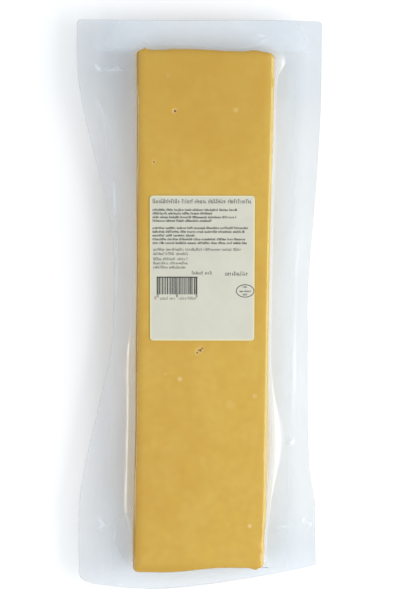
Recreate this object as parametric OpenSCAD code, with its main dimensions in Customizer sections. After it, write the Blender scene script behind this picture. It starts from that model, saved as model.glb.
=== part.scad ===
// A block of cheddar, vacuum packed in a clear pouch, with a paper label on its face.
// It lies on its back: +Z up, length along Y, head end towards +Y.
// The origin is under the middle of the pouch, on the surface that the pack rests on.

/* [Cheese] */
// Length of the block along its longer side
block_len = 282; // [180:1:360]
// Width of the block at its two ends
block_w = 72.4; // [50:0.1:110]
// Thickness of the block
block_h = 24; // [14:0.1:40]
// How far each long side is pressed in at mid length
block_waist = 0.8; // [0:0.1:3]
// How far the right half of the foot end is cut back
foot_cut = 3.2; // [0:0.1:8]
// Radius of the four upright corners
block_corner_r = 3; // [1.5:0.1:8]
// Radius along the edges of the top and bottom faces
block_edge_r = 1.8; // [0.8:0.1:4]

/* [Pouch] */
// Thickness of the film
film_t = 0.3; // [0.2:0.05:0.6]
// Width of the flat border past the head end
head_margin = 16; // [9:0.1:40]
// Width of the border past the foot end at its widest
foot_margin = 13; // [9:0.1:40]
// Width of the border past the foot end's right corner
foot_right_margin = 7.4; // [6:0.1:30]
// Border left of the block at the head corner
left_head_margin = 32.6; // [14:0.1:50]
// Border left of the block at its narrowest
left_waist_margin = 12; // [9:0.1:30]
// Border left of the block at the foot corner
left_foot_margin = 30.6; // [14:0.1:50]
// Border right of the block at the head corner
right_head_margin = 25.8; // [14:0.1:50]
// Border right of the block at its narrowest
right_waist_margin = 20.8; // [9:0.1:40]
// Border right of the block at the foot corner
right_foot_margin = 28.3; // [14:0.1:50]
// Radius of the pouch's head corners
head_corner_r = 2.5; // [1:0.1:10]
// Radius of the pouch's left foot corner
foot_corner_r = 8; // [1:0.1:12]
// Width of the strip round the block where the film leaves the wall
tent_w = 5; // [2:0.1:7]
// Height of that strip above and below the border
tent_h = 6.5; // [2:0.1:9]
// Height of the waves in the border
wave_h = 1.5; // [0:0.1:3]
// Length of those waves
wave_len = 78; // [40:1:160]
// How far the border hangs below the middle of the block
droop = 1.5; // [0:0.1:3]
// Width over which the border goes from level to its full hang and waves
hang_run = 24; // [10:1:50]

/* [Label] */
// Width of the label
label_w = 55.8; // [30:0.1:70]
// Length of the label
label_len = 77.4; // [40:0.1:120]
// Thickness of the label
label_t = 0.2; // [0.1:0.05:0.5]
// Corner radius of the label
label_corner_r = 1.8; // [0.5:0.1:6]
// How far the label's centre lies right of the block's centre line
label_x = -0.4; // [-8:0.1:8]
// How far the label's centre lies towards the head end
label_y = 25; // [-40:0.5:40]
// Turn of the label on the block, in degrees
label_turn = 0.6; // [-5:0.1:5]

/* [Hidden] */

// Steps along a long side, a short side, a corner, a rounded edge, the tent and the border
long_steps = 18;
short_steps = 8;
corner_steps = 4;
edge_steps = 3;
tent_steps = 3;
border_steps = 4;

pouch_h = block_h + 2 * film_t;
border_z = pouch_h / 2;
// An edge's rounding stays smaller than the corner that it runs round
edge_r = min(block_edge_r, block_corner_r - 0.5);
// The strip beside the wall ends short of the wall's rounded edges and of the narrowest border
strip_h = min(tent_h, border_z - edge_r - 2 * film_t);
strip_w = min(tent_w, min(head_margin, foot_margin, foot_right_margin, left_waist_margin, right_waist_margin)
    - film_t - 1);
// The film's waist on the left lies this far past the block's middle, and is straight for this much
waist_y = 12;
waist_half = 13;
// The foot end's cut starts left of the centre line and is complete right of it
foot_cut_start = -20;
foot_cut_end = 16;
// The lowest point of the pouch's foot edge, left of the centre line, and how far the edge rises
// from there to the block's right corner and to the pouch's left corner
foot_low_x = -25;
foot_right_rise = foot_margin + foot_cut - foot_right_margin;
foot_left_rise = 3;
// Where the right border widens again, and over how much length
flare_start = 80;
flare_len = 30;
flare_share = 0.5;
// Places the middle of the pouch over the origin
shift_x = (max(left_head_margin, left_foot_margin) - max(right_head_margin, right_foot_margin)) / 2;
shift_y = (foot_margin - head_margin) / 2;

// Eases from 0 to 1 as u goes from 0 to 1, level at both ends
function ease(u) = let (t = min(max(u, 0), 1)) t * t * (3 - 2 * t);
function mix(a, b, t) = a + (b - a) * t;

// Half width of the block: a shallow parabola, narrowest at mid length
function block_side(y) = block_w / 2 - block_waist * max(0, 1 - pow(2 * y / block_len, 2));
function block_foot(x) = -block_len / 2 + foot_cut * ease((x - foot_cut_start) / (foot_cut_end - foot_cut_start));

// Border of the pouch, measured from the block's end width: wide ends eased into a waist
pouch_head = block_len / 2 + head_margin;
pouch_foot = -block_len / 2 - foot_margin;
function waist_share(y) = ease((abs(y - waist_y) - waist_half) / (block_len / 2 - 2 * waist_half));
function pouch_left(y) = -block_w / 2
    - mix(left_waist_margin, y > waist_y ? left_head_margin : left_foot_margin, waist_share(y));
function flare(y) = (1 - flare_share) * min(-2 * y / block_len, 1)
    + flare_share * ease((-y - flare_start) / flare_len);
function pouch_right(y) = block_w / 2 + (y > 0
    ? mix(right_waist_margin, right_head_margin, ease(2 * y / block_len * 1.25))
    : mix(right_waist_margin, right_foot_margin, flare(y)));
function pouch_foot_edge(x) = let (u = x - foot_low_x) pouch_foot + (u > 0
    ? foot_right_rise * pow(u / (block_w / 2 - foot_low_x), 1.4)
    : foot_left_rise * pow(-u / (block_w / 2 + left_foot_margin + foot_low_x), 1.5));

// A closed loop of points, anticlockwise from the foot of the right side.
// right and left give x at a height y, head and foot give y at a place x, and
// radii are those of the head right, head left, foot left and foot right corners.
function loop(right, left, head, foot, radii) =
    let (
        rx = [right(head(0)), left(head(0)), left(foot(left(foot(0)))), right(foot(right(foot(0))))],
        ry = [head(rx[0]), head(rx[1]), foot(rx[2]), foot(rx[3])],
        sx = [-1, 1, 1, -1],
        sy = [-1, -1, 1, 1],
        cx = [for (k = [0:3]) rx[k] + sx[k] * radii[k]],
        cy = [for (k = [0:3]) ry[k] + sy[k] * radii[k]],
        arc = function (k) [for (i = [0:corner_steps]) let (a = 90 * (k + i / corner_steps))
            [cx[k] + radii[k] * cos(a), cy[k] + radii[k] * sin(a)]],
        run = function (steps, a, b) [for (i = [1:steps - 1]) mix(a, b, i / steps)]
    )
    concat(
        [for (y = run(long_steps, cy[3], cy[0])) [right(y), y]], arc(0),
        [for (x = run(short_steps, cx[0], cx[1])) [x, head(x)]], arc(1),
        [for (y = run(long_steps, cy[1], cy[2])) [left(y), y]], arc(2),
        [for (x = run(short_steps, cx[2], cx[3])) [x, foot(x)]], arc(3)
    );

// The block's outline, grown outwards by a distance, or drawn in by a negative one
function block_loop(grow) = loop(
    function (y) block_side(y) + grow,
    function (y) -block_side(y) - grow,
    function (x) block_len / 2 + grow,
    function (x) block_foot(x) - grow,
    [for (k = [0:3]) block_corner_r + grow]);

pouch_loop = loop(
    function (y) pouch_right(y),
    function (y) pouch_left(y),
    function (x) pouch_head,
    function (x) pouch_foot_edge(x),
    [head_corner_r, head_corner_r, foot_corner_r, 1]);

function at_height(points, z) = [for (p = points) [p[0], p[1], z]];

// Rings of a rounded slab from its bottom face up: a quarter circle at each edge
function slab_edge(grow, low, high) = [for (i = [0:edge_steps]) let (a = 90 * i / edge_steps)
    at_height(block_loop(grow - edge_r * (1 - sin(a))), low + (high - low) * (1 - cos(a)))];
function reversed(list) = [for (i = [len(list) - 1:-1:0]) list[i]];

block_rings = concat(
    slab_edge(0, film_t, film_t + edge_r),
    reversed(slab_edge(0, film_t + block_h, film_t + block_h - edge_r)));

// Height of the border's middle at a point: level beside the block, and further out it hangs
// and runs in slanting waves
function past_block(p) = norm([max(abs(p[0]) - block_w / 2, 0), max(abs(p[1]) - block_len / 2, 0)]);
function border_height(p) = border_z + ease((past_block(p) - film_t - strip_w) / hang_run)
    * (wave_h * sin(360 * (p[1] / wave_len + p[0] / (3 * wave_len))) - droop);
// One ring of the border: side is 1 on the upper film and -1 on the lower one
function border_ring(side, t) = let (inner = block_loop(film_t + strip_w))
    [for (i = [0:len(inner) - 1]) let (p = mix(inner[i], pouch_loop[i], t))
        [p[0], p[1], border_height(p) + side * film_t]];
// Between wall and border the film follows a parabola that runs out flat
function tent_ring(side, t) = at_height(
    block_loop(film_t + strip_w * t), border_z + side * (film_t + strip_h * pow(1 - t, 2)));

// One film from the wall out to the rim
function film_rings(side) = concat(
    [for (i = [0:tent_steps - 1]) tent_ring(side, i / tent_steps)],
    [for (i = [0:border_steps]) border_ring(side, i / border_steps)]);

pouch_rings = concat(
    slab_edge(film_t, 0, edge_r),
    film_rings(-1),
    reversed(film_rings(1)),
    reversed(slab_edge(film_t, pouch_h, pouch_h - edge_r)));

// Joins rings of equal length into a closed solid, with a flat cap on the first and the last
module skin(rings) {
    n = len(rings[0]);
    last = (len(rings) - 1) * n;
    polyhedron(
        points = [for (ring = rings) each ring],
        faces = concat(
            [[for (i = [0:n - 1]) i]],
            [for (k = [0:len(rings) - 2], i = [0:n - 1]) let (j = (i + 1) % n)
                each [[k * n + i, (k + 1) * n + i, (k + 1) * n + j], [k * n + i, (k + 1) * n + j, k * n + j]]],
            [[for (i = [n - 1:-1:0]) last + i]]),
        convexity = 6);
}

module cheddar_block() {
    color([0.82, 0.64, 0.28])
        translate([shift_x, shift_y, 0])
            skin(block_rings);
}

// The film all round the cheese: its pocket is the block's own shape
module pouch() {
    color([0.86, 0.89, 0.91, 0.35])
        difference() {
            translate([shift_x, shift_y, 0])
                skin(pouch_rings);
            cheddar_block();
        }
}

module rounded_plate(w, len, r) {
    square([w - 2 * r, len], center = true);
    square([w, len - 2 * r], center = true);
    for (x = [-1, 1], y = [-1, 1])
        translate([x * (w / 2 - r), y * (len / 2 - r)])
            circle(r = r, $fn = 48);
}

module label() {
    color([0.86, 0.86, 0.79])
        translate([shift_x + label_x, shift_y + label_y, pouch_h])
            rotate(label_turn)
                linear_extrude(label_t)
                    rounded_plate(label_w, label_len, label_corner_r);
}

cheddar_block();
pouch();
label();
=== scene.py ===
"""A block of cheddar in a clear vacuum pouch, with a printed paper label on its face.

The CAD frame is in metres. Shapes here are worked out in millimetres, measured from the floor under
the block's middle, and turned into metres when their mesh is made."""

import bpy
import numpy as np
from mathutils import Matrix, Vector


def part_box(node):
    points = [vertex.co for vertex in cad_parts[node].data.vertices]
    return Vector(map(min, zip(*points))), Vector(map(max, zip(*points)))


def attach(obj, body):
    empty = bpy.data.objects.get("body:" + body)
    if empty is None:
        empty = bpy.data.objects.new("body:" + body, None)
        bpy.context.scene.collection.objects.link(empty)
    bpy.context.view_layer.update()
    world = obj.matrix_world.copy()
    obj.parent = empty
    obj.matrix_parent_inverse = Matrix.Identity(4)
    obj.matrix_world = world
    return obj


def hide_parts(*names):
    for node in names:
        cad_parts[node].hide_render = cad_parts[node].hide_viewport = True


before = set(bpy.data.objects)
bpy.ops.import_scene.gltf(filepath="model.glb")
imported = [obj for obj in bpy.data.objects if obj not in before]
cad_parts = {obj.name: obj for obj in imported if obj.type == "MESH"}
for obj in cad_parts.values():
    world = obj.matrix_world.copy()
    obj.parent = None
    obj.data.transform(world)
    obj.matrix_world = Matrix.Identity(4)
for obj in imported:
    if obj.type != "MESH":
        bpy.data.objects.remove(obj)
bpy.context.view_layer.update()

# ---------------------------------------------------------------------------------------------
# Sizes, from the frame where it holds them
# ---------------------------------------------------------------------------------------------
MM = 0.001


def node_box(name):
    """The lowest and the highest corner of a CAD node, in millimetres."""
    return [np.array(corner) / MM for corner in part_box(name)]


cheese_low, cheese_high = node_box("cheddar_block")
pouch_low, pouch_high = node_box("pouch")
label_low, label_high = node_box("label")
centre = (cheese_low + cheese_high) / 2 * (1, 1, 0)
half_w, half_len = (cheese_high - cheese_low)[:2] / 2
cheese_z, cheese_top = cheese_low[2], cheese_high[2]
border_z = pouch_high[2] / 2  # the border leaves the block at half its height

# The block
waist = 0.8  # how far each long side is pressed in at mid length
foot_cut = 2.9  # how far the right half of the foot end is cut back
foot_cut_span = (-20, 16)  # where that cut starts and where it is complete
block_corner_r = 3.0
head_right_r = 3.2
edge_r = 1.5  # rounding of the faces' edges

# The pouch
film_gap = 0.12  # from the cheese to the film over it
film_half = 0.12  # half the thickness of the two films of the border
left_edge = centre[0] - pouch_low[0]  # the border's furthest point on the left
right_edge = pouch_high[0] - centre[0]
head_edge = pouch_high[1] - centre[1]
foot_edge = centre[1] - pouch_low[1]
left_waist_edge = half_w + 12.0  # its other places along both sides, measured like that
left_foot_edge = half_w + 30.6
right_waist_edge = half_w + 20.8
right_head_edge = half_w + 25.8
waist_y, waist_half = 12, 13  # the middle of the waist, and half the length that stays straight
foot_low_x, foot_left_rise = -25, 3  # where the foot edge is lowest, and its rise from there to the left
foot_right_margin = 7.4  # from the cut foot end to the foot edge
head_corner_r, foot_corner_r, foot_right_r = 2.5, 6.0, 1.0
tent_w = 5.3  # from the block to where its film has come down to the border
tent_h = 6.5  # how far over the border the film leaves the block
rim_w = 0.4  # how wide the darker cut edge shows
wave_h, wave_len = 1.0, 78  # the slanting waves of the border
droop, hang_run = 1.2, 26  # how far the border hangs further out, and over what distance

# The label
label_w, label_len, label_corner_r, label_turn = 55.8, 77.4, 1.8, np.radians(0.6)
label_mid = (label_low + label_high)[:2] / 2 - centre[:2]
label_t, ink_t = 0.12, 0.02


# ---------------------------------------------------------------------------------------------
# Curves and noise
# ---------------------------------------------------------------------------------------------
def ease(u):
    """Runs from 0 to 1 as u does, level at both ends: 3u^2 - 2u^3."""
    t = np.clip(u, 0, 1)
    return t * t * (3 - 2 * t)


def mix(a, b, t):
    """From a at t = 0 to b at t = 1."""
    return a + (b - a) * t


def hump(x, middle, width):
    """A bell of height 1: e to the minus square of the distance over the width."""
    return np.exp(-(((x - middle) / width) ** 2))


def drift(x, y, cell, seed):
    """Smooth noise from -1 to 1: random numbers on a square lattice, eased from corner to corner."""
    count, shift_x, shift_y = 96, 40.37, 40.71  # cells along a side, and where its middle lies in them
    lattice = np.random.default_rng(seed).uniform(-1, 1, (count + 1, count + 1))
    u, v = x / cell + shift_x, y / cell + shift_y
    i, j = np.floor(u).astype(int) % count, np.floor(v).astype(int) % count
    a, b = ease(u - np.floor(u)), ease(v - np.floor(v))
    low = mix(lattice[i, j], lattice[i + 1, j], a)
    high = mix(lattice[i, j + 1], lattice[i + 1, j + 1], a)
    return mix(low, high, b)


def ridge(x, y, route, width):
    """A crease along a route of points: a bell of the distance to the nearest stretch, fading at its ends."""
    best = np.zeros_like(x)
    reach = sum(np.hypot(b[0] - a[0], b[1] - a[1]) for a, b in zip(route, route[1:]))
    gone = 0.0
    for (ax, ay), (bx, by) in zip(route, route[1:]):
        length = np.hypot(bx - ax, by - ay)
        along = ((x - ax) * (bx - ax) + (y - ay) * (by - ay)) / length**2
        at = np.clip(along, 0, 1)
        away = np.hypot(x - mix(ax, bx, at), y - mix(ay, by, at))
        share = (gone + at * length) / reach
        fade = np.sin(np.pi * np.clip(share, 0.02, 0.98)) ** 0.6
        best = np.maximum(best, np.exp(-((away / width) ** 2)) * fade)
        gone += length
    return best


# ---------------------------------------------------------------------------------------------
# Outlines, seen from above
# ---------------------------------------------------------------------------------------------
LONG, SHORT, CORNER = 18, 8, 4  # how much of a round trip each stretch counts for


def inside_block(x, y):
    """How far a point lies inside the nearest side of the block's box."""
    return np.minimum(half_w - np.abs(x), half_len - np.abs(y))


def beyond_block(x, y):
    """How far a point lies outside the block's box."""
    return np.hypot(np.maximum(np.abs(x) - half_w, 0), np.maximum(np.abs(y) - half_len, 0))


def side(y):
    """Half the block's width: a shallow parabola, narrowest at mid length."""
    return half_w - waist * np.maximum(0, 1 - (y / half_len) ** 2)


def block_right(y):
    """The right side: fuller towards the head, with a small bulge, and drawn in and creased at the foot."""
    creased = 0.35 * np.sin(y / 1.9) * hump(y, -130, 7)
    full = 0.45 * hump(y, 96, 22) + 0.25 * hump(y, -62, 28)
    return side(y) + full + 0.35 * hump(y, 123.8, 3.2) - 1.2 * ease((-y - 104) / 24) + creased


def block_left(y):
    """The left side: evenly wavy, with a small swelling near the foot."""
    return -side(y) - 0.3 * hump(y, -124, 9) + 0.12 * np.sin(y / 13)


def block_head(x):
    """The head end: a squeezed nub, a small step, a slow fall to the right, a lip and a lower corner."""
    step = -0.5 * ease((-19.0 - x) / 1.2)
    fall = 0.75 * ease((x + 8) / 24) + 0.6 * ease((x - 27) / 9)
    return half_len - 0.6 + 0.9 * hump(x, -32.6, 1.8) + step + 0.6 * hump(x, 25.5, 3) - fall


def block_foot(x):
    """The foot end: its right half is cut back, with a small lobe near the corner."""
    start, end = foot_cut_span
    return -half_len - 0.3 + foot_cut * ease((x - start) / (end - start)) - 1.0 * hump(x, 31, 2.6)


def pouch_left(y):
    """Wide at both ends and eased into a straight waist."""
    share = ease((np.abs(y - waist_y) - waist_half) / (half_len - 2 * waist_half))
    return -mix(left_waist_edge, np.where(y > waist_y, left_edge, left_foot_edge), share)


def pouch_right(y):
    """Eases out to the head; towards the foot a straight slope and one flare are added."""
    flare = 0.5 * np.clip(-y / half_len, 0, 1) + 0.5 * ease((-y - 80) / 30)
    up = mix(right_waist_edge, right_head_edge, ease(1.25 * y / half_len))
    down = mix(right_waist_edge, right_edge, flare)
    return np.where(y > 0, up, down) - 0.15 * np.sin(y / 11)


def pouch_head(x):
    """Nearly straight, with one slow wave."""
    return head_edge - 0.35 + 0.35 * np.sin((x + 4) / 21)


def pouch_foot(x):
    """Lowest left of the middle, from there rising to both corners as powers of the distance."""
    u = x - foot_low_x
    right_rise = foot_edge - half_len + foot_cut - foot_right_margin
    right = right_rise * (np.maximum(u, 0) / (half_w - foot_low_x)) ** 1.4
    left = foot_left_rise * (np.maximum(-u, 0) / (left_foot_edge + foot_low_x)) ** 1.5
    return -foot_edge + right + left


class Loop:
    """How finely a closed outline is divided: steps on a long side, a short side and a corner."""

    def __init__(self, long, short, corner):
        self.long, self.short, self.corner = long, short, corner

    def turn(self):
        """Each point's share of the round trip, from the foot of the right side, anticlockwise."""
        shares, steps = (LONG, CORNER, SHORT, CORNER), (self.long, self.corner, self.short, self.corner)
        marks, start = [], 0.0
        for share, count in zip(shares * 2, steps * 2):
            marks.append(start + share * np.arange(count) / count)
            start += share
        return np.roll(np.concatenate(marks) / start, -1)

    def outline(self, right, left, head, foot, radii):
        """Points round the four sides, given as x of y and y of x, with a quarter circle at each corner.

        The radii are those of the head right, head left, foot left and foot right corners."""
        head_r, head_l = right(head(0.0)), left(head(0.0))
        foot_l, foot_r = left(foot(left(foot(0.0)))), right(foot(right(foot(0.0))))
        corner_x = np.array([head_r, head_l, foot_l, foot_r])
        corner_y = np.array([head(head_r), head(head_l), foot(foot_l), foot(foot_r)])
        cx = corner_x + np.array([-1, 1, 1, -1]) * radii
        cy = corner_y + np.array([-1, -1, 1, 1]) * radii

        def arc(k):
            """The quarter circle of a corner."""
            a = np.pi / 2 * (k + np.linspace(0, 1, self.corner + 1))
            return np.stack([cx[k] + radii[k] * np.cos(a), cy[k] + radii[k] * np.sin(a)], 1)

        def run(steps, a, b):
            """The places between two corners."""
            return np.linspace(a, b, steps + 1)[1:-1]

        up, down = run(self.long, cy[3], cy[0]), run(self.long, cy[1], cy[2])
        back, forth = run(self.short, cx[0], cx[1]), run(self.short, cx[2], cx[3])
        return np.concatenate([
            np.stack([right(up), up], 1), arc(0), np.stack([back, head(back)], 1), arc(1),
            np.stack([left(down), down], 1), arc(2), np.stack([forth, foot(forth)], 1), arc(3),
        ])

    def block(self, grow):
        """The block's outline, moved outwards by a distance."""
        radii = np.array([head_right_r, block_corner_r, block_corner_r, block_corner_r]) + grow
        return self.outline(
            lambda y: block_right(y) + grow, lambda y: block_left(y) - grow,
            lambda x: block_head(x) + grow, lambda x: block_foot(x) - grow, radii)

    def pouch(self):
        """The outline of the pouch's border."""
        radii = np.array([head_corner_r, head_corner_r, foot_corner_r, foot_right_r])
        return self.outline(pouch_right, pouch_left, pouch_head, pouch_foot, radii)

    def caps(self):
        """Faces that close a ring from above: strips from side to side, and one polygon at each end."""
        sides, end = 2 * (self.long - 1), (self.short - 1) // 2 + self.corner + 1
        half = (sides + 2 * (self.short - 1) + 4 * (self.corner + 1)) // 2
        foot_middle = sides + (self.short - 1) + 3 * (self.corner + 1) + (self.short - 2) // 2
        ring = ((foot_middle + np.arange(-half, 2 * half)) % (2 * half)).tolist()
        strips = [[ring[half + n], ring[half + n + 1], ring[half - n - 1], ring[half - n]]
                  for n in range(end, half - end)]
        return strips + [ring[half - end:half + end + 1], ring[2 * half - end:2 * half + end + 1]]


# ---------------------------------------------------------------------------------------------
# Surfaces: rings of points, one inside or above the other
# ---------------------------------------------------------------------------------------------
CORE = 0.03  # how much of the way out to its edge a face's innermost ring lies


def face_relief(x, y):
    """How far the block's face lies under its highest level: slow swells, and a fall along its edges."""
    swell = 0.5 * drift(x, y, 34, 1) + 0.3 * drift(x, y, 15, 2) + 0.2 * drift(x * 2, y, 11, 3)
    wrinkled = hump(x, 34.5, 3.0) * hump(y, -127, 8)
    fallen = 0.6 * np.clip(1 - (inside_block(x, y) - edge_r) / 4, 0, 1.2) ** 2
    return -0.16 * (1 - swell) - fallen - 0.3 * wrinkled * (1 + drift(x + 0.3 * y, y, 1.7, 4))


def no_relief(x, y):
    """The relief of a flat face."""
    return np.zeros_like(x)


def at_height(ring, z):
    """A ring's points with a third coordinate, one for all or one each."""
    return np.concatenate([ring, np.broadcast_to(np.asarray(z, float), len(ring))[:, None]], 1)


def face_rings(outline, z, count, relief):
    """Rings from near the middle line out to an outline, at a height plus the relief.

    The middle line stops half a width short of both ends, so the rings fan round it."""
    spine_y = np.clip(outline[:, 1], -(half_len - half_w), half_len - half_w)
    spine = np.stack([np.zeros(len(outline)), spine_y], 1)
    rings = [mix(spine, outline, t) for t in np.linspace(CORE, 1, count)]
    return [at_height(ring, z + relief(*ring.T)) for ring in rings]


def edge_rings(loop, grow, low, high, count, relief):
    """A quarter circle from a face's edge (low) to the wall (high), growing from drawn in to full."""
    rings = []
    for a in np.linspace(0, np.pi / 2, count + 1)[1:]:
        ring = loop.block(grow - edge_r * (1 - np.sin(a)))
        z = low + (high - low) * (1 - np.cos(a)) + relief(*ring.T) * np.cos(a)
        rings.append(at_height(ring, z))
    return rings


def make_piece(name, points, faces, material):
    """A smooth piece in metres, at the origin, riding on the one body."""
    mesh = bpy.data.meshes.new(name)
    placed = (points + centre) * MM
    mesh.from_pydata(placed.tolist(), [], faces)
    mesh.polygons.foreach_set("use_smooth", np.ones(len(mesh.polygons), bool))
    mesh.materials.append(material)
    mesh.update()
    piece = bpy.data.objects.new(name, mesh)
    bpy.context.scene.collection.objects.link(piece)
    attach(piece, "root")
    return piece


def skin_faces(rings, count, loop):
    """Quads between rings that run from the underside's cap up to the top's, and the two caps."""
    k, i = np.meshgrid(np.arange(rings - 1), np.arange(count), indexing="ij")
    j = (i + 1) % count
    quads = np.stack([k * count + i, k * count + j, (k + 1) * count + j, (k + 1) * count + i], -1)
    last = (rings - 1) * count
    top = [[v + last for v in face] for face in loop.caps()]
    return quads.reshape(-1, 4).tolist() + top + [face[::-1] for face in loop.caps()]


# ---------------------------------------------------------------------------------------------
# Materials
# ---------------------------------------------------------------------------------------------
class Wire:
    """An output in a material's node tree. Sums of wires and numbers add their Math nodes."""

    def __init__(self, tree, socket=None):
        self.tree, self.socket = tree, socket

    def node(self, kind, settings=None, inputs=None, out=0):
        """Adds a node: its settings first, then numbers or wires for its sockets, by name or place."""
        made = self.tree.nodes.new(kind)
        for key, value in (settings or {}).items():
            setattr(made, key, value)
        for key, value in (inputs or {}).items():
            if isinstance(value, Wire):
                self.tree.links.new(value.socket, made.inputs[key])
            else:
                made.inputs[key].default_value = value
        return Wire(self.tree, made.outputs[out])

    def math(self, operation, *values):
        """A Math node on wires or numbers."""
        return self.node("ShaderNodeMath", {"operation": operation}, dict(enumerate(values)))

    def __add__(self, other):
        return self.math("ADD", self, other)

    def __sub__(self, other):
        return self.math("SUBTRACT", self, other)

    def __rsub__(self, other):
        return self.math("SUBTRACT", other, self)

    def __mul__(self, other):
        return self.math("MULTIPLY", self, other)

    __radd__, __rmul__ = __add__, __mul__

    def clamp(self):
        return self.node("ShaderNodeClamp", None, {"Value": self})

    def rise(self, start, end):
        """0 below start, 1 above end, smooth between."""
        return self.node("ShaderNodeMapRange", {"interpolation_type": "SMOOTHSTEP"},
                         {"Value": self, "From Min": start, "From Max": end})

    def noise(self, size, detail=2.0, rough=0.5, stretch=(1, 1, 1)):
        """Noise on the object's own coordinates, with features of a size in millimetres."""
        place = self.node("ShaderNodeTexCoord", out="Object")
        scaled = self.node("ShaderNodeMapping", None, {"Vector": place, "Scale": stretch})
        return self.node("ShaderNodeTexNoise", None, {
            "Vector": scaled, "Scale": 1 / (size * MM), "Detail": detail, "Roughness": rough})

    def plan_distance(self, place):
        """Distance, seen from above, from a place given in metres."""
        here = self.node("ShaderNodeTexCoord", out="Object")
        flat = self.node("ShaderNodeVectorMath", {"operation": "MULTIPLY"}, {0: here, 1: (1, 1, 0)})
        return self.node("ShaderNodeVectorMath", {"operation": "DISTANCE"}, {0: flat, 1: (*place, 0)}, out=1)

    def blend(self, factor, a, b):
        """A colour between a and b."""
        return self.node("ShaderNodeMix", {"data_type": "RGBA"}, {0: factor, 6: a, 7: b}, out=2)

    def bump(self, height, strength, distance):
        """A normal from a height, its distance in millimetres."""
        return self.node("ShaderNodeBump", None, {
            "Height": height, "Strength": strength, "Distance": distance * MM})


def srgb(r, g, b, alpha=1.0):
    """A colour given as screen values from 0 to 255."""
    c = np.array([r, g, b]) / 255
    linear = np.where(c <= 0.04045, c / 12.92, ((c + 0.055) / 1.055) ** 2.4)
    return (*linear.tolist(), alpha)


def material(name, build):
    """A material whose surface is what build returns."""
    made = bpy.data.materials.new(name)
    made.use_nodes = True
    tree = made.node_tree
    tree.nodes.clear()
    surface = build(Wire(tree))
    output = tree.nodes.new("ShaderNodeOutputMaterial")
    tree.links.new(surface.socket, output.inputs["Surface"])
    return made


def cheese_surface(w):
    """Deep yellow paste, mottled at three sizes, deeper along its edges and, as painted shade, towards
    the head end; with a painted shade line along the left edge, a band of painted light along the right one,
    and pinholes in pale rings whose dark cores are painted shade."""
    slow = w.noise(45, 2, 0.5).rise(0.3, 0.7)
    patch = w.noise(17, 3, 0.55).rise(0.36, 0.64)
    fine = w.noise(5, 3, 0.6).rise(0.3, 0.7)
    grain = w.noise(1.3, 2, 0.6)
    top, edge, light, painted_shade_line = (w.node("ShaderNodeAttribute", {"attribute_name": name}, out="Fac")
                              for name in ("top", "edge", "light", "painted_shade_line"))
    dark = pale = 0.0
    ragged = w.noise(0.9, 1, 0.5) * (0.7 * MM)
    for place, radius, _, darkness, paleness in pits:
        away = w.plan_distance((np.array(place) + centre[:2]) * MM) + ragged
        reach = (radius + 0.35) * MM
        dark = w.math("MAXIMUM", dark, darkness * away.rise(reach, 0.5 * reach))
        pale = w.math("MAXIMUM", pale, paleness * away.rise(1.7 * reach, 0.9 * reach))
    base = w.blend(slow, srgb(197, 154, 55), srgb(202, 166, 64))
    base = w.blend(patch * 0.7, base, srgb(203, 168, 73))
    base = w.blend(fine * 0.4, base, srgb(192, 151, 56))
    # deeper along the edges, and painted shade towards the head end
    base = w.blend(edge * 0.7, base, srgb(189, 147, 46))
    # painted light: a lighter, yellower band along the right edge
    base = w.blend(light, base, srgb(190, 166, 62))
    base = w.blend(pale * top, base, srgb(226, 200, 140))
    # painted shade: the dark cores of the pits
    base = w.blend(dark * top, base, srgb(112, 76, 26))
    # painted shade: a dark brown line along the left edge
    base = w.blend(painted_shade_line, base, srgb(112, 84, 34))
    return w.node("ShaderNodeBsdfPrincipled", None, {
        "Base Color": base,
        "Roughness": 0.45 + 0.12 * fine,
        "Specular IOR Level": 0.25,
        "Subsurface Weight": 0.15,
        "Subsurface Radius": (1.0, 0.85, 0.3),
        "Subsurface Scale": 0.004,
        "Normal": w.bump(grain, 0.25, 0.12),
    })


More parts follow.
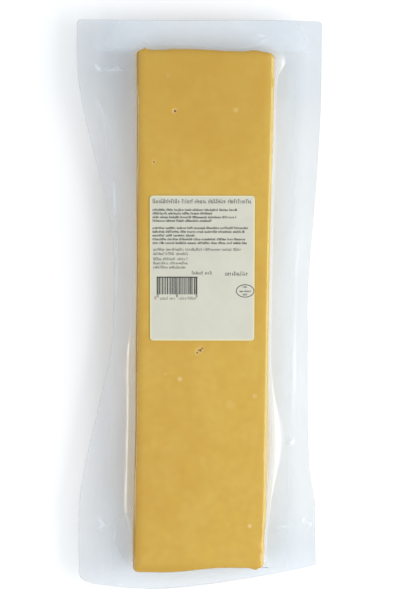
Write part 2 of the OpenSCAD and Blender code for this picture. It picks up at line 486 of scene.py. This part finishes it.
def film_surface(w):
    """Clear film: tight on the cheese it nearly vanishes; off the cheese it is a little grey and milky,
    greyer on the right, in the head corners and along the foot as painted shade where the lamps light it
    more.

    Folds are whitened, partly as stress whitening and partly as a painted highlight; beside the block a white
    haze is painted light over the block's shadow and warm bounce; beside the cheese a gold tint is a painted
    reflection of the cheese; and the gloss grows towards grazing sight as the fifth power of the facing."""
    whitening_and_painted_light, loose_grey_painted_shade, rim, painted_reflection = (w.node("ShaderNodeAttribute", {"attribute_name": name}, out="Fac")
                              for name in ("whitening_and_painted_light", "loose_grey_painted_shade", "rim", "painted_reflection"))
    cloud = w.noise(26, 3, 0.55).rise(0.3, 0.75)
    ripple = w.noise(5, 3, 0.5, (1, 0.45, 1))
    normal = w.bump(ripple, 0.3, 0.2)
    tight = w.node("ShaderNodeBsdfTransparent", None, {"Color": (0.985, 0.985, 0.985, 1)})
    grey = w.node("ShaderNodeBsdfTransparent", None, {"Color": (0.88, 0.895, 0.91, 1)})
    # painted reflection: a gold tint for the cheese seen mirrored in the film beside it
    gold = w.node("ShaderNodeBsdfTransparent", None, {"Color": (0.985, 0.955, 0.86, 1)})
    # the film's own grey, its share partly painted shade where the lamps light it more
    clear = w.node("ShaderNodeMixShader", None, {0: loose_grey_painted_shade, 1: tight, 2: grey})
    clear = w.node("ShaderNodeMixShader", None, {0: painted_reflection, 1: clear, 2: gold})
    milk = w.node("ShaderNodeBsdfDiffuse", None, {"Color": srgb(234, 242, 250)})
    free = loose_grey_painted_shade.rise(0, 0.2)
    # haze: the film's milkiness, with the painted light and painted highlights of the whitening mask
    haze = (0.004 + free * (0.04 + 0.03 * cloud) + 0.5 * whitening_and_painted_light).clamp()
    body = w.node("ShaderNodeMixShader", None, {0: haze, 1: clear, 2: milk})
    edge = w.node("ShaderNodeBsdfDiffuse", None, {"Color": srgb(158, 166, 172)})
    body = w.node("ShaderNodeMixShader", None, {0: 0.32 * rim, 1: body, 2: edge})
    gloss = w.node("ShaderNodeBsdfGlossy", None, {
        "Color": (1, 1, 1, 1), "Roughness": (0.12 + 0.5 * whitening_and_painted_light).clamp(), "Normal": normal})
    facing = w.node("ShaderNodeLayerWeight", None, {"Blend": 0.5, "Normal": normal}, out="Facing")
    share = (0.03 + 0.045 * free + 0.9 * w.math("POWER", facing, 5.0)) * (1 - rim)
    return w.node("ShaderNodeMixShader", None, {0: share, 1: body, 2: gloss})


def paper_surface(w):
    """Coated label paper: off-white with a green-grey tint, faintly cloudy."""
    cloud = w.noise(14, 3, 0.6).rise(0.3, 0.7)
    base = w.blend(cloud, srgb(196, 195, 180), srgb(191, 190, 176))
    edge = w.node("ShaderNodeAttribute", {"attribute_name": "edge"}, out="Fac")
    # painted highlight: a lighter, yellower rim within 1.1 of the label's edge
    base = w.blend(edge * 0.8, base, srgb(222, 212, 158))
    fibre = w.noise(0.7, 2, 0.6)
    return w.node("ShaderNodeBsdfPrincipled", None, {
        "Base Color": base, "Roughness": 0.5 + 0.08 * cloud, "Normal": w.bump(fibre, 0.1, 0.02)})


def ink_surface(colour):
    """Black or coloured ink, worn in small spots."""
    def build(w):
        worn = w.noise(0.9, 2, 0.6).rise(0.35, 0.8)
        return w.node("ShaderNodeBsdfPrincipled", None, {
            "Base Color": w.blend(worn * 0.35, colour, srgb(120, 120, 112)), "Roughness": 0.6})
    return build


def floor_surface(w):
    """Pale and even, hardly cloudy."""
    cloud = w.noise(300, 2, 0.5)
    return w.node("ShaderNodeBsdfPrincipled", None, {
        "Base Color": w.blend(cloud, (0.91, 0.91, 0.91, 1), (0.94, 0.94, 0.94, 1)), "Roughness": 0.7})


# ---------------------------------------------------------------------------------------------
# The cheese
# ---------------------------------------------------------------------------------------------
# Pinholes and pits in the face: place, radius, depth, how dark the core (painted shade in the hole) and how
# pale the ring round it
pits = [
    ((-15.8, 108.0), 1.0, 0.7, 1.0, 0.5),
    ((-26.6, 81.1), 0.8, 0.4, 0.8, 0.3),
    ((-0.9, -19.0), 1.0, 0.5, 1.0, 0.4),
    ((0.1, -17.9), 0.8, 0.3, 0.9, 0.2),
    ((-1.9, -18.9), 0.7, 0.3, 0.8, 0.4),
    ((-2.6, -20.4), 0.8, 0.3, 0.8, 0.4),
    ((-11.6, -34.7), 0.9, 0.3, 0.1, 0.5),
    ((-19.2, -32.1), 0.5, 0.25, 0.3, 0.3),
    ((27.2, -114.7), 0.8, 0.3, 0.0, 0.55),
    ((28.8, -43.4), 0.8, 0.25, 0.1, 0.35),
    ((15.6, -48.5), 1.7, 0.05, 0.0, 0.12),
    ((16.4, 108.9), 0.9, 0.15, 0.0, 0.3),
    ((-19.6, 126.5), 0.6, 0.15, 0.2, 0.2),
]


def add_attribute(piece, name, values):
    """Gives a piece one number for each of its points."""
    attribute = piece.data.attributes.new(name, "FLOAT", "POINT")
    attribute.data.foreach_set("value", np.asarray(values, np.float32))


def make_cheese():
    """The block: face rings, rounded edges and slightly wobbling walls; the face holds the pits."""
    loop = Loop(long=300, short=72, corner=10)
    inset = loop.block(-edge_r)

    def face(x, y):
        """The relief with a fine unevenness, and each pit as a bell-shaped hole."""
        holes = sum(depth * hump(np.hypot(x - px, y - py), 0, r) for (px, py), r, depth, *_ in pits)
        return face_relief(x, y) + 0.06 * drift(x, y, 3.5, 5) - holes

    walls, ring, wobble_h = [], loop.block(0), 0.12
    away = ring / np.linalg.norm(ring, axis=1)[:, None]
    for z in np.linspace(cheese_z + edge_r, cheese_top - edge_r, 12)[1:-1]:
        wobble = wobble_h * drift(loop.turn() * 400, np.full(len(ring), z * 4.0), 12, 7)
        walls.append(at_height(ring + away * wobble[:, None], z))
    rings = (
        face_rings(inset, cheese_z, 12, no_relief)
        + edge_rings(loop, 0, cheese_z, cheese_z + edge_r, 6, no_relief)
        + walls
        + edge_rings(loop, 0, cheese_top, cheese_top - edge_r, 7, face)[::-1]
        + face_rings(inset, cheese_top, 62, face)[::-1]
    )
    points = np.concatenate(rings)
    piece = make_piece("cheese", points, skin_faces(len(rings), len(inset), loop),
                       material("cheddar", cheese_surface))
    x, y, z = points.T
    from_left, from_right, top = side(y) + x, side(y) - x, z > border_z
    near_face = ease((z - cheese_top + 3.2) / 1.6)
    light = 0.8 * (1 - ease((from_right - 0.3) / 3)) * top  # painted light: a lighter, yellower band 3 wide along the right side
    painted_shade_line = 0.45 * (1 - ease((from_left - 0.4) / 1.2)) * near_face  # painted shade: a dark line 1.2 wide along the left side
    edge = np.maximum(ease(1 - inside_block(x, y) / 7), 0.6 * ease((y - 50) / 70))  # and, as painted shade, the head end
    for name, values in (("top", top), ("light", light), ("painted_shade_line", painted_shade_line), ("edge", edge)):
        add_attribute(piece, name, values)
    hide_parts("cheddar_block")


# ---------------------------------------------------------------------------------------------
# The pouch
# ---------------------------------------------------------------------------------------------
# Folds pressed into the border: route, height, width and how much they whiten, partly as stress whitening
# and partly as a painted highlight
folds = [
    ([(-59.5, 133.0), (-56.5, 129.8), (-55.0, 129.5)], 0.35, 0.9, 0.8),
    ([(-54.5, 129.7), (-47.0, 130.2), (-41.5, 130.3)], 0.4, 0.8, 0.7),
    ([(-48.0, 132.0), (-46.0, 132.0)], 0.3, 0.8, 0.7),
    ([(-36.5, 149.0), (-32.4, 150.0)], 0.3, 0.8, 0.6),
    ([(-33.0, 145.5), (-32.0, 142.0)], 0.3, 0.8, 0.6),
    ([(25.7, 149.7), (33.0, 148.3)], 0.3, 0.8, 1.0),
    ([(33.0, 148.0), (27.0, 144.3)], 0.25, 0.8, 0.8),
    ([(-59.0, 116.0), (-52.3, 101.0), (-54.5, 98.0)], 0.2, 1.6, 0.2),
    ([(-55.0, 107.0), (-49.2, 67.0)], 0.2, 1.4, 0.14),
    ([(-48.4, 72.0), (-47.6, 51.0)], 0.25, 0.8, 0.8),
    ([(-47.4, 56.0), (-45.9, 30.0), (-46.0, 0.0)], 0.35, 1.0, 0.2),
    ([(-47.0, -14.0), (-47.6, -50.0)], 0.3, 1.3, 0.14),
    ([(-49.5, -56.0), (-51.5, -76.0)], 0.3, 1.3, 0.14),
    ([(51.9, 48.0), (49.9, 26.0), (49.6, -8.0), (49.8, -60.0)], 0.25, 0.8, 0.2),
    ([(48.4, -69.5), (49.6, -71.5)], 0.8, 1.9, 0.5),
    ([(-57.0, -113.6), (-51.0, -120.0)], 0.3, 0.9, 0.7),
    ([(-56.0, -121.0), (-52.5, -117.0)], 0.3, 0.8, 0.7),
    ([(-46.5, -130.0), (-38.5, -142.5)], 0.35, 0.8, 0.6),
    ([(40.0, -120.0), (44.5, -117.8), (50.0, -117.5)], 0.35, 0.9, 0.6),
    ([(55.5, -113.0), (58.0, -115.5)], 0.3, 0.9, 0.6),
    ([(60.5, -115.0), (60.8, -118.5)], 0.3, 0.8, 0.7),
]
# Seven short rungs across one of them
folds += [([(x - 1.2, y - 0.8), (x + 0.6, y + 0.4)], 0.3, 0.7, 0.9)
          for x, y in zip(np.linspace(-45.5, -38.5, 7), np.linspace(-131, -142, 7))]


def border_lift(x, y):
    """How far the border lies over its level at the block: further out it hangs, in slanting waves."""
    past = beyond_block(x, y)
    far = ease((past - tent_w) / hang_run)
    wave = wave_h * np.sin(2 * np.pi * (y / wave_len + x / (3 * wave_len)))
    small = 0.2 * drift(x, y, 17, 12) + 0.05 * drift(x, y, 6, 13)
    return far * (wave - droop) + ease(past / tent_w - 0.7) * small


def grey_and_painted_shade(x, y):
    """How grey the film off the cheese is: some everywhere, more on the right, most in the head corners and
    along the foot, the extra being painted shade where the lamps light it more.
    """
    middle = ease((x + 38) / 25)
    past = np.maximum(np.abs(x) - half_w, 0)
    head = 0.45 * ease((y - 90) / 40) * ease((np.abs(x) - 15) / 25)
    foot = mix(0.3 * ease((-y - 124) / 24), 0.4 * ease((-y - 100) / 36), middle)
    # painted shade: greyer on the right, where the key lamp lights it
    right = 0.5 * ease((x + 5) / 45) * (0.55 + 0.45 * ease((past - 2) / 12))
    return np.minimum(0.15 + right + head + foot, 1)


def haze_and_painted_light(x, y):
    """A white haze in the film beside the block, partly the film's milkiness and partly painted light that
    covers the block's shadow and warm bounce seen through it: most at the head end, then at the foot and on
    the right.
    """
    near = 1 - ease((beyond_block(x, y) - 6) / 24)
    right, head, foot = ease((x - half_w + 3) / 4), ease((y - half_len + 3) / 4), ease((-y - 88) / 34)
    return near * np.maximum(0.1 + 0.27 * np.maximum(right, foot), 0.6 * head)


def tent_profile():
    """Shares of a tent's width and its height there: it falls steeply, keeps one slope and levels off."""
    share = np.linspace(0, 1, 41)
    slope = np.interp(share, (0, 0.6, 0.79, 1), (2.45, 0.475, 0.435, 0))
    fallen = np.concatenate([[0], np.cumsum(slope[1:] + slope[:-1])])
    return share, 1 - fallen / fallen[-1]


def tent_shape(x, y, turn):
    """How far the film stands off the block, and how much it bulges there: it is tight on the right
    but for two pockets, and looser on the left."""
    right = ease(x / half_w / 2 + 0.5)
    long_pocket, head_pocket = hump(y, -71, 25), hump(y, 135, 5.5) * ease((x - 22) / 10)
    left_width = 3.2 + 4.1 * ease((-y - 5) / 22) - 5.0 * ease((-y - 104) / 20)
    width = mix(left_width, 1.9 + 7.6 * long_pocket + 5.5 * head_pocket, right)
    uneven = 0.05 * drift(turn * 700, 0 * turn, 13, 21) + 0.03 * drift(turn * 700, 0 * turn, 5, 22)
    return width * (1 + uneven), right * np.clip(long_pocket + head_pocket, 0, 1)


def film_side(loop, side_sign, outline, tents, bulge, counts):
    """The rings of one film from the block's wall out to the rim, with four marks for each point:
    how whitened it is by folds and by painted light, how grey it is off the cheese with painted shade,
    whether it is the rim, and how much painted reflection of the cheese it takes."""
    turn, grown = loop.turn(), loop.block(film_gap)
    away = loop.block(film_gap + 1.0) - grown
    none, rings, marks = np.zeros(len(grown)), [], []
    tent_count, border_count = counts
    # painted reflection of the cheese, hardly any on the right
    painted_reflection = 1 - 0.85 * ease(grown[:, 0] / half_w)  # hardly any on the right
    profile = tent_profile()
    for t in np.arange(tent_count) / tent_count:  # down the tent, a bulging stretch by its own curve
        ring = grown + away * (tents * t)[:, None]
        pucker = 0.05 * np.sin(np.pi * t) * drift(turn * 700, none + 9.0 * side_sign, 6, 11)
        height = tent_h * mix(np.interp(t, *profile), (1 - t) ** 2, bulge)
        z = border_z + side_sign * (film_half + height + pucker)
        rings.append(at_height(ring, z))
        # whitening: painted light beside the block, and a painted highlight in the pockets
        whitening_and_painted_light = haze_and_painted_light(*ring.T) * ease(2 * t) + 0.15 * bulge * np.sin(np.pi * t)
        marks.append((whitening_and_painted_light, grey_and_painted_shade(*ring.T) * ease(1.5 * t), none, painted_reflection * (1 - t)))
    inner = grown + away * tents[:, None]
    near_rim = 1 - rim_w / np.linalg.norm(outline - inner, axis=1)
    for step in range(border_count + 2):  # out over the border, with the cut edge as its last step
        t = none + 1 if step > border_count else near_rim * step / border_count
        ring = mix(inner, outline, t[:, None])
        x, y = ring.T
        # white: painted light beside the block, then the folds' whitening, partly a painted highlight
        lift, white = border_lift(x, y), haze_and_painted_light(x, y)
        for route, height, width, pale in folds:
            shape = ridge(x, y, route, width) * ease(6 * t)
            lift, white = lift + height * shape, np.maximum(white, pale * shape)
        rings.append(at_height(ring, border_z + lift + side_sign * film_half))
        marks.append((white, grey_and_painted_shade(x, y), none + (step > border_count), none))
    return rings, marks


def make_film():
    """The film as one closed skin: over the face, round the block and out to the rim, on both sides."""
    loop = Loop(long=268, short=72, corner=8)
    outline = loop.pouch()
    tents, bulge = tent_shape(*loop.block(film_gap).T, loop.turn())
    inset = loop.block(film_gap - edge_r)
    low, high = 0.02, cheese_top + film_gap  # just over the floor, and over the cheese
    counts = (16, 24)  # rings of a tent and of the border
    first = face_rings(inset, low, 8, no_relief) + edge_rings(loop, film_gap, low, low + edge_r, 5, no_relief)
    last = (edge_rings(loop, film_gap, high, high - edge_r, 5, face_relief)[::-1]
            + face_rings(inset, high, 36, face_relief)[::-1])
    under, under_marks = film_side(loop, -1, outline, tents, bulge, counts)
    over, over_marks = film_side(loop, 1, outline, tents, bulge, counts)
    rings = first + under + over[::-1] + last
    tight = [(np.zeros(len(inset)),) * 4]
    marks = tight * len(first) + under_marks + over_marks[::-1] + tight * len(last)
    points = np.concatenate(rings)
    piece = make_piece("film", points, skin_faces(len(rings), len(inset), loop),
                       material("clear_film", film_surface))
    for name, values in zip(("whitening_and_painted_light", "loose_grey_painted_shade", "rim", "painted_reflection"), zip(*marks)):
        add_attribute(piece, name, np.concatenate(values))
    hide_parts("pouch")


# ---------------------------------------------------------------------------------------------
# The label and its print
# ---------------------------------------------------------------------------------------------
def on_face(points):
    """Moves points of the label, flat and centred, to their place on the block's face."""
    c, s = np.cos(label_turn), np.sin(label_turn)
    x = c * points[:, 0] - s * points[:, 1] + label_mid[0]
    y = s * points[:, 0] + c * points[:, 1] + label_mid[1]
    return np.stack([x, y, label_low[2] + points[:, 2] + face_relief(x, y)], 1)


def make_label():
    """A thin sheet with round corners that follows the face under it."""
    loop = Loop(long=60, short=44, corner=8)
    w, h, reach = label_w / 2, label_len / 2, (label_len - label_w) / 2
    rim = loop.outline(lambda y: w + 0 * y, lambda y: -w + 0 * y, lambda x: h + 0 * x, lambda x: -h + 0 * x,
                       np.full(4, label_corner_r))
    spine = np.stack([np.zeros(len(rim)), np.clip(rim[:, 1], -reach, reach)], 1)
    steps = (*np.linspace(CORE, 0.92, 14), 0.95, 0.975, 0.997, 1)  # closer together towards the edge

    def sheet(z):
        """The rings of one face of the sheet."""
        return [at_height(mix(spine, rim, t), z) for t in steps]

    rings = sheet(0) + sheet(label_t)[::-1]
    flat = np.concatenate(rings)
    inside = np.min((w, h) - np.abs(flat[:, :2]), axis=1)
    piece = make_piece("paper_label", on_face(flat), skin_faces(len(rings), len(rim), loop),
                       material("label_paper", paper_surface))
    # the mask for the painted highlight along the label's edge
    add_attribute(piece, "edge", ease(1 - inside / 1.1))
    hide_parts("label")


BOX_CORNERS = np.array([(x, y, z) for z in (0, 1) for y in (-0.5, 0.5) for x in (-0.5, 0.5)], float)
BOX_FACES = [(0, 2, 3, 1), (4, 5, 7, 6), (0, 1, 5, 4), (2, 6, 7, 3), (0, 4, 6, 2), (1, 3, 7, 5)]
# Kinds of type: height, width of a stroke, and pitch
SMALL_TYPE, LIGHT_TYPE, BAR_TYPE = (1.3, 0.3, 0.56), (1.6, 0.22, 0.6), (1.7, 0.22, 0.75)


def make_print(name, marks, surface):
    """One piece of thin boxes. A mark is its middle from the label's top left corner, width and height."""
    x, y, w, h = np.array(marks, float).T
    size = np.stack([w, h, np.full(len(marks), ink_t)], 1)
    place = np.stack([x - label_w / 2, label_len / 2 - y, np.full(len(marks), label_t)], 1)
    points = (BOX_CORNERS[None] * size[:, None] + place[:, None]).reshape(-1, 3)
    faces = [[8 * n + v for v in face] for n in range(len(marks)) for face in BOX_FACES]
    piece = make_piece(name, on_face(points), faces, surface)
    piece.data.polygons.foreach_set("use_smooth", np.zeros(len(piece.data.polygons), bool))


def text_line(rng, left, right, y, height, stroke, pitch):
    """A line of print as plain strokes: uprights of uneven height, ticks that join them, and gaps."""
    marks, x = [], left
    while x < right - pitch / 2:
        word_end = min(right, x + height * rng.uniform(2, 6))
        while x < word_end - pitch / 2:
            tall, step = height * rng.choice([0.7, 0.7, 1.0]), pitch * rng.uniform(0.75, 1.25)
            low = y + (height - tall) / 2
            marks.append((x + stroke / 2, low, stroke, tall))
            if rng.random() < 0.7:
                level = rng.choice([-0.3, 0.0, 0.3]) * tall
                marks.append((x + step / 2, low + level, step, stroke * 0.8))
            x += step
        x += height * 0.4
    return marks


def type_marks(rng):
    """The title, the small type and two number fields: the bold marks and the thin ones."""
    bold, thin = text_line(rng, 1.6, 53.8, 2.95, 2.4, 0.3, 0.85), []
    for y, right in zip((7.5, 9.4, 11.4, 13.3), (46.2, 33.2, 46.0, 33.7)):
        bold += text_line(rng, 1.5, right, y, *SMALL_TYPE)
    for y, right in zip((17.1, 19.1, 21.1, 23.1, 25.1), (52.1, 50.8, 24.2, 50.6, 51.6)):
        bold += text_line(rng, 1.5, right, y, *SMALL_TYPE)
    for y, right in zip((28.5, 30.8, 33.6, 35.8, 38.0), (49.0, 20.2, 20.2, 20.5, 19.0)):
        thin += text_line(rng, 1.8, right, y, *LIGHT_TYPE)
    bold += text_line(rng, 22.4, 33.8, 41.0, 2.0, 0.26, 0.8)
    bold += text_line(rng, 40.2, 52.7, 41.4, 2.4, 0.3, 0.9)
    return bold, thin


def bar_marks(rng):
    """A field of bars of random widths under a line, with longer guards, and the thin type below it."""
    left, right, top, bottom = 3.6, 25.4, 43.1, 52.6
    middle, line_h, guard_w, guard_end = (left + right) / 2, 0.6, 0.28, bottom + 1.6
    thin = text_line(rng, 5.4, 13.8, 54.6, *BAR_TYPE) + text_line(rng, 15.4, 24.4, 54.6, *BAR_TYPE)
    bold = [(middle, top + line_h / 2, right - left, line_h)]
    for guard in (left + 0.25, left + 0.8, middle - 0.3, middle + 0.3, right - 0.8, right - 0.25):
        bold.append((guard, (top + guard_end) / 2, guard_w, guard_end - top))
    x = left
    while x < right - 0.6:
        wide = rng.choice([0.23, 0.23, 0.46, 0.6])
        bold.append((x + wide / 2, (top + bottom) / 2, wide, bottom - top))
        x += wide + rng.choice([0.23, 0.23, 0.3, 0.46])
    return bold, thin


def make_oval(middle, ink):
    """A thin oval ring."""
    count, line_w = 64, 0.4
    outer = np.array((4.9, 3.5))
    inner = outer - line_w
    low, high = label_t, label_t + ink_t
    a = np.linspace(0, 2 * np.pi, count + 1)[:-1]
    corner = np.array((-label_w, label_len)) / 2
    rings = [at_height(corner + (middle[0], -middle[1]) + radii * np.stack([np.cos(a), np.sin(a)], 1), z)
             for radii, z in ((outer, low), (outer, high), (inner, high), (inner, low))]
    k, i = np.meshgrid(np.arange(4), np.arange(count), indexing="ij")
    n, j = (k + 1) % 4, (i + 1) % count
    quads = np.stack([k * count + i, k * count + j, n * count + j, n * count + i], -1).reshape(-1, 4)
    make_piece("print_oval", on_face(np.concatenate(rings)), quads.tolist(), ink)


def make_marks():
    """All the print: black type, bars and an oval, and a small red mark. Places are in millimetres
    from the label's top left corner, rightwards and downwards."""
    rng = np.random.default_rng(41)
    ink = material("label_ink", ink_surface(srgb(24, 24, 24)))
    grey = material("label_ink_thin", ink_surface(srgb(52, 52, 50)))
    red = material("label_red", ink_surface(srgb(150, 40, 36)))
    bold, thin = type_marks(rng)
    bar_bold, bar_thin = bar_marks(rng)
    bold, thin = bold + bar_bold, thin + bar_thin
    oval_x, oval_y = 50.8, 50.7
    for y, half in ((48.5, 1.2), (50.8, 3.0), (52.6, 1.2)):
        bold += text_line(rng, oval_x - half, oval_x + half, y, 1.1, 0.26, 0.55)
    make_print("print_bold", bold, ink)
    make_print("print_thin", thin, grey)
    make_print("print_mark", [(2.7, 54.5, 0.35, 1.6), (3.2, 54.1, 0.6, 0.3), (3.2, 55.1, 0.6, 0.3)],
               red)
    make_oval((oval_x, oval_y), ink)


# ---------------------------------------------------------------------------------------------
# Floor, lights and camera
# ---------------------------------------------------------------------------------------------
def make_floor():
    """A wide square just under the pack."""
    half, z = 3.0, -0.0003  # in metres, as are the lights' places and sizes
    mesh = bpy.data.meshes.new("floor")
    corners = [(-half, -half, z), (half, -half, z), (half, half, z), (-half, half, z)]
    mesh.from_pydata(corners, [], [(0, 1, 2, 3)])
    mesh.materials.append(material("pale_floor", floor_surface))
    floor = bpy.data.objects.new("floor", mesh)
    bpy.context.scene.collection.objects.link(floor)


def area_light(name, place, along, across, power, colour=(1, 1, 1)):
    """A soft rectangular light that faces the pack: its size level with the floor, then up its slope."""
    data = bpy.data.lights.new(name, "AREA")
    data.shape = "RECTANGLE"
    data.energy, data.size, data.size_y, data.color = power, along, across, colour
    lamp = bpy.data.objects.new(name, data)
    bpy.context.scene.collection.objects.link(lamp)
    lamp.location = place
    lamp.rotation_euler = (-Vector(place)).to_track_quat("-Z", "Y").to_euler()


def make_lights():
    """A broad key light from the right, a long narrow one from the left, and an even sky."""
    area_light("key", (0.66, -0.1, 0.52), 0.95, 0.45, 7.2, (1.0, 0.99, 0.965))
    area_light("side", (-0.9, -0.2, 0.7), 1.4, 0.14, 4.2)
    world = bpy.data.worlds.new("studio")
    world.use_nodes = True
    sky = world.node_tree.nodes["Background"].inputs
    sky["Color"].default_value = (0.9, 0.95, 1.0, 1)
    sky["Strength"].default_value = 0.63
    bpy.context.scene.world = world


def make_camera():
    """Almost straight above the pack, leaning a little towards its head end."""
    tilt, roll = np.radians(5.4), np.radians(0.681)
    distance, view_h = 750.0, 320.4  # to the block's face, and the height that the view covers there
    target = centre + (-1.39, 8.07, 24.2)
    forward = np.array([0, -np.sin(tilt), -np.cos(tilt)])
    up = np.array([0, np.cos(tilt), -np.sin(tilt)])
    right = np.array([1.0, 0, 0])
    turned_right = right * np.cos(roll) + up * np.sin(roll)
    turned_up = -right * np.sin(roll) + up * np.cos(roll)
    data = bpy.data.cameras.new("camera")
    data.sensor_width = 36
    data.lens = data.sensor_width * distance / view_h
    camera = bpy.data.objects.new("camera", data)
    bpy.context.scene.collection.objects.link(camera)
    axes = Matrix(np.stack([turned_right, turned_up, -forward], 1).tolist())
    camera.matrix_world = Matrix.Translation(Vector((target - distance * forward) * MM)) @ axes.to_4x4()
    bpy.context.scene.camera = camera


bpy.context.scene.view_settings.view_transform = "Standard"
make_camera()
make_cheese()
make_film()
make_label()
make_marks()
make_floor()
make_lights()
